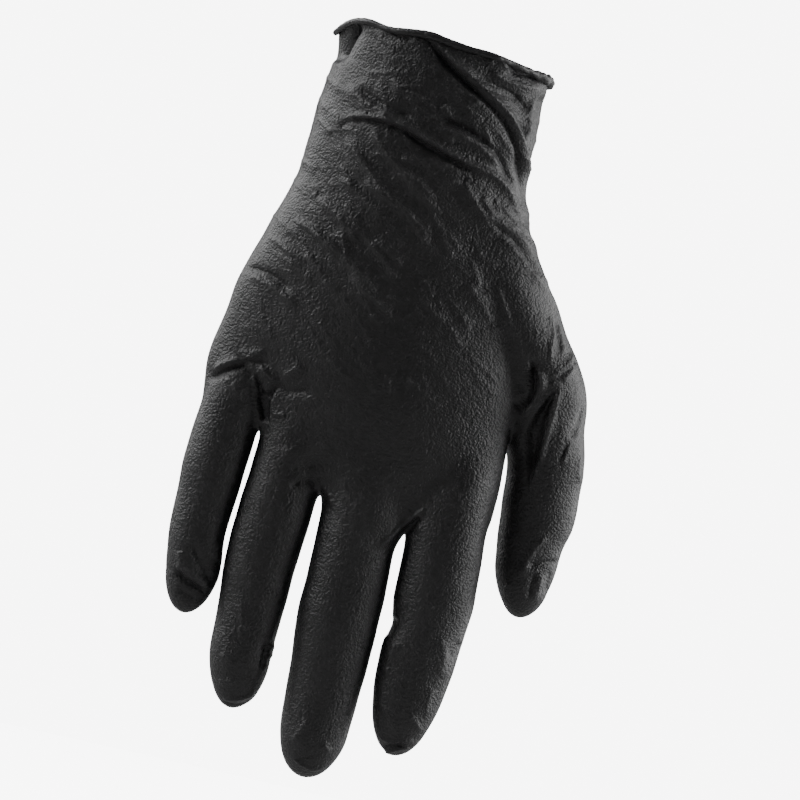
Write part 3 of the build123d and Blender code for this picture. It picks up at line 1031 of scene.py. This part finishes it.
@dataclass(frozen=True)
class NitrileFinish:
    """Thin black nitrile: a leathery grain, painted shade in creases and hollows with a lighter tone on
    raised crests, and an even, low gloss.
    """

    name: str = "black_nitrile"
    grain: float = 0.8
    pebble: float = 1250.0
    roughness: tuple[float, float] = (0.34, 0.49)
    bump: float = 0.00052
    stray_scale: float = 420.0
    stray: float = 0.0014
    fine_scale: float = 1900.0
    line_scale: float = 240.0
    broad_scale: float = 34.0
    deep: Shade = Shade.DEEP
    pale: Shade = Shade.PALE

    def material(self) -> bpy.types.Material:
        """The material, with its pattern on Object coordinates.

        The height is three grains added: small rounded pebbles, finer noise and short crumpled lines. The
        tone mixes from deep to pale at random by the broad and fine noise, and by the tone mark, which paints
        shade into creases and hollows and lightens raised crests.
        """
        paint = Paint(self.name)
        place = paint.node("ShaderNodeTexCoord", {}, {}, "Object")
        waver = {"Vector": place, "Scale": self.stray_scale, "Detail": 2.0}
        bent = paint.node("ShaderNodeTexNoise", {}, waver, "Color")
        shift = {0: bent, 1: (self.stray,) * 3, 2: place}
        moved = paint.node("ShaderNodeVectorMath", {"operation": "MULTIPLY_ADD"}, shift, "Vector")
        cells = {"Vector": moved, "Scale": self.pebble, "Smoothness": 0.6}
        pebbles = paint.node("ShaderNodeTexVoronoi", {"feature": "SMOOTH_F1"}, cells, "Distance")
        fine = self.noise(paint, place, self.fine_scale, 3.0, 0.6)
        lines = self.noise(paint, moved, self.line_scale, 5.0, 0.62)
        broad = self.noise(paint, place, self.broad_scale, 4.0, 0.6)
        # painted shade: the tone mark darkens creases and hollows and lightens raised crests
        shade_mark = paint.node("ShaderNodeAttribute", {"attribute_name": "shade_mark"}, {}, "Fac")
        height = pebbles * -0.65 + fine * 0.55 + lines * 0.8
        relief = {"Strength": self.grain, "Distance": self.bump, "Height": height}
        bump = paint.node("ShaderNodeBump", {}, relief, "Normal")
        mix = self.spread(paint, broad * 0.55 + fine * 0.45 + shade_mark * 0.25, 0.38, 0.8, 0.0, 1.0)
        tones = {0: mix, 6: (*self.deep.value, 1.0), 7: (*self.pale.value, 1.0)}
        tone = paint.node("ShaderNodeMix", {"data_type": "RGBA"}, tones, 2)
        rough = self.spread(paint, broad * 0.6 + lines * 0.4, 0.3, 0.7, *self.roughness)
        looks = {
            "Base Color": tone,
            "Roughness": rough,
            "Normal": bump,
            "Specular IOR Level": 0.5,
            "IOR": 1.48,
            "Sheen Weight": 0.02,
            "Sheen Roughness": 0.5,
        }
        paint.finish(paint.node("ShaderNodeBsdfPrincipled", {}, looks, "BSDF"))
        return paint.material

    @staticmethod
    def noise(paint: Paint, place: Term, scale: float, detail: float, rough: float) -> Term:
        """A noise from about 0.3 to 0.7 at one scale, in features per metre."""
        inputs = {"Vector": place, "Scale": scale, "Detail": detail, "Roughness": rough}
        return paint.node("ShaderNodeTexNoise", {}, inputs, "Fac")

    @staticmethod
    def spread(paint: Paint, value: Term, low: float, high: float, start: float, end: float) -> Term:
        """The value carried from low..high to start..end, held at both."""
        inputs = {"Value": value, 1: low, 2: high, 3: start, 4: end}
        return paint.node("ShaderNodeMapRange", {"clamp": True}, inputs, "Result")


@dataclass(frozen=True)
class BackdropFinish:
    """The white paper of the floor, lit from within so that it stays white behind black film."""

    tone: float = 0.4
    glow: float = 5.0

    def material(self) -> bpy.types.Material:
        """A matt paper for the light that falls on it, and an even white to the eye."""
        paint = Paint("studio_paper")
        place = paint.node("ShaderNodeTexCoord", {}, {}, "Object")
        cloud = NitrileFinish.noise(paint, place, 3.0, 2.0, 0.5)
        rough = NitrileFinish.spread(paint, cloud, 0.0, 1.0, 0.85, 0.95)
        grey = (self.tone, self.tone, self.tone, 1.0)
        matt = {"Base Color": grey, "Roughness": rough, "Specular IOR Level": 0.1}
        paper = paint.node("ShaderNodeBsdfPrincipled", {}, matt, "BSDF")
        lit = {"Color": (1, 1, 1, 1), "Strength": self.glow}
        white = paint.node("ShaderNodeEmission", {}, lit, "Emission")
        both = paint.node("ShaderNodeAddShader", {}, {0: paper, 1: white}, "Shader")
        seen = paint.node("ShaderNodeLightPath", {}, {}, "Is Camera Ray")
        paint.finish(paint.node("ShaderNodeMixShader", {}, {0: seen, 1: paper, 2: both}, "Shader"))
        return paint.material


def new_mesh(
    name: str, points: np.ndarray, faces: np.ndarray, finish: bpy.types.Material
) -> bpy.types.Object:
    """Puts points in millimetres and faces of one size into a shown mesh.

    Args:
        name: the piece's name.
        points: one row for each point.
        faces: one row of point numbers for each face.
        finish: its material.

    Returns:
        The object, at the origin and smooth.
    """
    mesh = bpy.data.meshes.new(name)
    sides = faces.shape[1]
    mesh.vertices.add(len(points))
    mesh.vertices.foreach_set("co", (points * MM).astype(np.float32).ravel())
    mesh.loops.add(faces.size)
    mesh.loops.foreach_set("vertex_index", faces.astype(np.int32).ravel())
    mesh.polygons.add(len(faces))
    mesh.polygons.foreach_set("loop_start", np.arange(0, faces.size, sides, dtype=np.int32))
    mesh.polygons.foreach_set("use_smooth", np.ones(len(faces), bool))
    mesh.update(calc_edges=True)
    mesh.materials.append(finish)
    made = bpy.data.objects.new(name, mesh)
    bpy.context.scene.collection.objects.link(made)
    return made


@dataclass
class FilmPieces:
    """The skin divided into pieces that each ride one body or cross one joint."""

    skin: Skin
    shape: HandShape
    finish: bpy.types.Material
    film: float = 0.2
    wrist_bend: tuple[float, float] = (-33.0, -52.0)
    wrist_tilt: tuple[float, float] = (-52.0, -64.0)
    wrist_seams: tuple[float, float, float] = (-31.0, -52.0, -66.0)
    hand_seam: float = -106.0

    def piece(self, name: str, keep: np.ndarray, inside: bool, replaced: tuple[str, ...]) -> bpy.types.Object:
        """One piece of film.

        Its outward directions are the whole skin's, so no seam shows. With
        inside, a second wall is set back by the film's thickness.

        Args:
            name: the piece's name.
            keep: a mark for each face of the skin.
            inside: whether the inner wall can be seen.
            replaced: the CAD nodes this piece stands for.

        Returns:
            The piece, which doesn't ride yet.
        """
        quads = self.skin.quads[keep]
        used, faces = np.unique(quads, return_inverse=True)
        faces = faces.reshape(quads.shape)
        points, normals, shade_mark = self.skin.points[used], self.skin.normals[used], self.skin.shade_mark[used]
        if inside:
            faces = np.concatenate([faces, faces[:, ::-1] + len(used)])
            points = np.concatenate([points, points - normals * self.film])
            normals = np.concatenate([normals, -normals])
            shade_mark = np.concatenate([shade_mark, shade_mark])
        made = new_mesh(name, points, faces, self.finish)
        # the tone mark carries painted shade in creases and hollows and a lighter tone on raised crests
        mark = made.data.attributes.new("shade_mark", "FLOAT", "POINT")
        mark.data.foreach_set("value", shade_mark.astype(np.float32))
        made.data.normals_split_custom_set_from_vertices(normals.tolist())
        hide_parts(*replaced)
        LOG.info("%s: %d faces", name, len(faces))
        return made

    @staticmethod
    def bend(made: bpy.types.Object, joint: Joint) -> None:
        """Bakes the piece's place into its points. The start and end of the joint's stretch are worked out in
        metres, but nothing uses them.
        """
        start, end = (tuple(c * MM for c in place) for place in (joint.start, joint.end))
        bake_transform(made)

    def build(self) -> None:
        """All the pieces, from the cuff down to each tip."""
        middle = self.skin.points[self.skin.quads].mean(axis=1)
        x, y, z = middle.T
        _, digit = self.shape.skin(x, y, z)
        cuff_end, bend_end, tilt_end = self.wrist_seams
        cuff = (z >= cuff_end) & (z < self.shape.mouth(x, y))
        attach(self.piece("cuff_film", cuff, True, ("cuff_sleeve",)), "cuff")
        fold = self.piece("wrist_fold_film", (z < cuff_end) & (z >= bend_end), True, ("wrist_fold",))
        self.bend(fold, Joint("cuff", "wrist", (0, 0, self.wrist_bend[0]), (0, 0, self.wrist_bend[1])))
        rest = z < bend_end
        for i, part in enumerate(self.shape.digits):
            below = (digit == i) & (part.below_root(x, z) > 0) & rest
            rest &= ~below
            heights = (0.0, *part.seams, -1000.0)
            for j, joint in enumerate(part.joints):
                here = below & (z <= heights[j]) & (z > heights[j + 1])
                name, replaced = self.names(part.name, j)
                self.bend(self.piece(name, here, False, replaced), joint)
        heel = self.piece("hand_heel_film", rest & (z >= tilt_end), True, ("hand_shell",))
        self.bend(heel, Joint("wrist", "hand", (0, 0, self.wrist_tilt[0]), (0, 0, self.wrist_tilt[1])))
        for band, high, low in (("hand", tilt_end, self.hand_seam), ("knuckle", self.hand_seam, -1000.0)):
            for face, side in (("back", y < 0), ("palm", y >= 0)):
                keep = rest & (z < high) & (z >= low) & side
                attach(self.piece(f"{band}_{face}_film", keep, True, ("hand_shell",)), "hand")

    @staticmethod
    def names(digit: str, bend: int) -> tuple[str, tuple[str, ...]]:
        """The piece's name at one bend of a digit, and the nodes it stands for."""
        if digit == "thumb":
            parts = (("root_film", ("root_fold", "base")), ("tip_film", ("tip_fold", "tip")))
        else:
            parts = (
                ("root_film", ("root_fold", "proximal")),
                ("middle_film", ("middle_fold", "middle")),
                ("tip_film", ("tip_fold", "tip")),
            )
        name, nodes = parts[bend]
        return f"{digit}_{name}", tuple(f"{digit}_{node}" for node in nodes)


@dataclass
class CuffRoll:
    """The rolled rim: several turns of film, twisted, hooked at one end and bunched at the other."""

    shape: HandShape
    folds: tuple[Fold, ...]
    maker: SkinMaker
    thick: float = 1.12
    around: int = 1000
    across: int = 32
    slow_waves: tuple[tuple[float, int, float], ...] = ((0.1, 3, 0.6), (0.07, 7, 2.0), (0.06, 17, 0.4))
    bunch_place: float = -0.12
    bunch_width: float = 0.4
    grooves: tuple[float, float] = (0.2, 0.16)
    hook_out: float = 0.7
    hook_down: float = 1.3

    def build(self, finish: bpy.types.Material) -> bpy.types.Object:
        """The roll, as a ring of sections carried round the mouth.

        The path is the arm's section at the mouth's wavy line. Each section
        is a circle whose radius swells in slow waves and is thickest on the
        thumb's side, where the roll has bunched. Two shallow grooves wander
        along it between its turns of film, and short crimps cross it.

        Args:
            finish: its material.

        Returns:
            The finished ring.
        """
        round_it = np.linspace(0, 2 * np.pi, self.around, endpoint=False)
        path = self.path(round_it)
        ahead = np.roll(path, -1, axis=0) - np.roll(path, 1, axis=0)
        ahead /= np.linalg.norm(ahead, axis=1)[:, None]
        out = np.cross(ahead, np.array([0.0, 0.0, 1.0]))
        out /= np.linalg.norm(out, axis=1)[:, None]
        rise = np.cross(out, ahead)
        a, t = np.meshgrid(np.linspace(0, 2 * np.pi, self.across, endpoint=False), round_it)
        bunch = self.near(t, self.bunch_place, self.bunch_width)
        slow = sum(high * np.sin(count * t + start) for high, count, start in self.slow_waves)
        first = self.near(a, 2.5 + 0.5 * np.sin(3 * t) + 0.25 * np.sin(11 * t), 0.34)
        second = self.near(a, 4.3 + 0.4 * np.sin(5 * t + 1.0), 0.3)
        crimps = 0.05 * np.sin(61 * t + 2 * a) * np.sin(9 * t) ** 2
        lumps = bunch * (0.16 * np.sin(37 * t + 2 * a) + 0.12 * np.sin(67 * t - 3 * a + 1.0))
        cut = self.grooves[0] * first + self.grooves[1] * second
        radius = self.thick * (1 + slow + 0.5 * bunch + lumps + crimps - cut)
        spoke = np.cos(a)[..., None] * out[:, None] + np.sin(a)[..., None] * rise[:, None]
        points = (path[:, None] + spoke * radius[..., None]).reshape(-1, 3)
        i, j = np.meshgrid(np.arange(self.around), np.arange(self.across), indexing="ij")
        i2, j2 = (i + 1) % self.around, (j + 1) % self.across
        corners = (i * self.across + j, i2 * self.across + j, i2 * self.across + j2, i * self.across + j2)
        faces = np.stack(corners, axis=-1).reshape(-1, 4)
        made = new_mesh("cuff_roll", points, faces, finish)
        # painted shade: the roll's tone is darker in its two grooves between turns of film and slightly
        # lighter elsewhere
        mark = made.data.attributes.new("shade_mark", "FLOAT", "POINT")
        mark.data.foreach_set("value", (0.3 - first - second).astype(np.float32).ravel())
        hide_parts("cuff_bead")
        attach(made, "cuff")
        LOG.info("cuff_roll: %d faces", len(faces))
        return made

    @staticmethod
    def near(angle: np.ndarray, middle: np.ndarray | float, wide: float) -> np.ndarray:
        """A bump on a circle: e to the minus square of the turn from middle over wide."""
        return np.exp(-((np.angle(np.exp(1j * (angle - middle))) / wide) ** 2))

    def path(self, angle: np.ndarray) -> np.ndarray:
        """Points on the film at the mouth's line, one for each angle round it.

        At the far side from the thumb the path hooks out and down.
        """
        limb = self.shape.arm
        z = np.zeros_like(angle)
        for _ in range(4):
            cx, cy, wide, deep = limb.section(z)
            c, s = np.cos(angle), np.sin(angle)
            reach = (np.abs(c / wide) ** limb.power + np.abs(s / deep) ** limb.power) ** (-1 / limb.power)
            x, y = cx + reach * c, cy + reach * s
            z = self.shape.mouth(x, y)
        points = np.stack([x, y, z], axis=1)
        _, outward = self.maker.gradient(points)
        rise, _ = self.maker.creases(points, outward, self.folds)
        points += outward * rise[:, None]
        points[:, 0] -= self.hook_out * self.near(angle, np.pi, 0.28)
        points[:, 2] -= self.hook_down * self.near(angle, np.pi, 0.16)
        for _ in range(4):
            points = (np.roll(points, 1, axis=0) + 2 * points + np.roll(points, -1, axis=0)) / 4
        return points


@dataclass(frozen=True)
class Lamp:
    """A soft rectangular lamp, with its place and size in metres and its power in watts."""

    name: str
    place: tuple[float, float, float]
    size: tuple[float, float]
    power: float

    def build(self, target: tuple[float, float, float]) -> None:
        """Puts the lamp up, facing the target and hidden from the camera."""
        data = bpy.data.lights.new(self.name, "AREA")
        data.shape = "RECTANGLE"
        data.size, data.size_y = self.size
        data.energy = self.power
        made = bpy.data.objects.new(self.name, data)
        made.location = self.place
        made.visible_camera = False
        aim = Vector(target) - Vector(self.place)
        made.rotation_euler = aim.to_track_quat("-Z", "Y").to_euler()
        bpy.context.scene.collection.objects.link(made)


@dataclass
class Studio:
    """The camera, the soft lights and the paper under the glove."""

    turn: float = 13.0
    look: tuple[float, float] = (10.74, -114.2)
    frame: float = 259.2
    lens: float = 300.0
    sensor: float = 36.0
    target: tuple[float, float, float] = (0.01, 0.0, -0.12)
    lamps: tuple[Lamp, ...] = (
        Lamp("left_softbox", (-0.88, -0.16, 0.42), (0.6, 0.9), 16.0),
        Lamp("right_softbox", (0.88, -0.08, 0.14), (0.5, 0.9), 10.5),
        Lamp("top_fill", (-0.2, -0.6, 1.3), (0.8, 0.4), 0.6),
        Lamp("back_left", (-0.75, 0.6, 0.3), (0.5, 0.9), 6.0),
        Lamp("back_right", (0.75, 0.6, 0.1), (0.5, 0.9), 5.0),
    )
    floor: float = -290.0
    paper_radius: float = 750.0
    air: float = 0.03
    paper_white: float = 7.5

    def camera(self) -> None:
        """A long lens level with the glove, turned about its own axis.

        It stands so far off that the frame's width at the glove is frame.
        """
        data = bpy.data.cameras.new("camera")
        data.lens = self.lens
        data.sensor_width = self.sensor
        data.clip_end = 40.0
        away = self.frame * MM * self.lens / self.sensor
        made = bpy.data.objects.new("camera", data)
        turn = math.radians(self.turn)
        right = Vector((math.cos(turn), 0, math.sin(turn)))
        up = Vector((-math.sin(turn), 0, math.cos(turn)))
        back = Vector((0, -1, 0))
        place = Matrix((right, up, back)).transposed().to_4x4()
        place.translation = Vector((self.look[0] * MM, -away, self.look[1] * MM))
        made.matrix_world = place
        bpy.context.scene.collection.objects.link(made)
        bpy.context.scene.camera = made

    def paper(self, finish: bpy.types.Material) -> None:
        """A round sheet of paper for a floor: rings of points at even angles, about its middle.

        Its middle is filled with faces that take three neighbours of the
        innermost ring and the middle point.
        """
        turns = np.linspace(0, 2 * np.pi, 96, endpoint=False)
        radii = np.array([0.25, 0.5, 0.75, 1.0]) * self.paper_radius
        r, t = np.meshgrid(radii, turns, indexing="ij")
        ring = np.stack([r * np.cos(t), r * np.sin(t), np.full(r.shape, self.floor)], axis=-1).reshape(-1, 3)
        i, j = np.meshgrid(np.arange(len(radii) - 1), np.arange(len(turns)), indexing="ij")
        k = (j + 1) % len(turns)
        n = len(turns)
        faces = np.stack([i * n + j, (i + 1) * n + j, (i + 1) * n + k, i * n + k], axis=-1).reshape(-1, 4)
        first = 2 * np.arange(n // 2)
        middle = np.stack([np.full(n // 2, len(ring)), first, first + 1, (first + 2) % n], axis=1)
        points = np.concatenate([ring, [[0, 0, self.floor]]])
        new_mesh("paper", points, np.concatenate([faces, middle]), finish)

    def world(self) -> None:
        """Air that is dim to the glove and as white as the paper to the eye."""
        world = bpy.data.worlds.new("studio_air")
        world.use_nodes = True
        tree = world.node_tree
        seen = tree.nodes.new("ShaderNodeLightPath")
        chosen = tree.nodes.new("ShaderNodeMapRange")
        chosen.inputs["To Min"].default_value = self.air
        chosen.inputs["To Max"].default_value = self.paper_white
        tree.links.new(seen.outputs["Is Camera Ray"], chosen.inputs["Value"])
        tree.links.new(chosen.outputs["Result"], tree.nodes["Background"].inputs["Strength"])
        tree.nodes["Background"].inputs["Color"].default_value = (1, 1, 1, 1)
        bpy.context.scene.world = world

    def build(self) -> None:
        """Sets up the whole studio."""
        self.camera()
        for lamp in self.lamps:
            lamp.build(self.target)
        self.paper(BackdropFinish(glow=self.paper_white).material())
        self.world()


def main() -> None:
    """Builds the glove, piece by piece, and its studio."""
    logging.basicConfig(level=logging.INFO, format="%(name)s %(message)s")
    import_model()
    Studio().build()
    shape = HandShape(digits())
    folds = back_folds() + FineFolds().build() + palm_folds()
    maker = SkinMaker(shape)
    skin = maker.make(folds, hollows())
    LOG.info("skin: %d points, %d faces", len(skin.points), len(skin.quads))
    film = NitrileFinish().material()
    rim = NitrileFinish(name="rolled_nitrile", grain=0.4, roughness=(0.38, 0.5)).material()
    FilmPieces(skin, shape, film).build()
    CuffRoll(shape, folds, maker).build(rim)


if __name__ == "__main__":
    main()
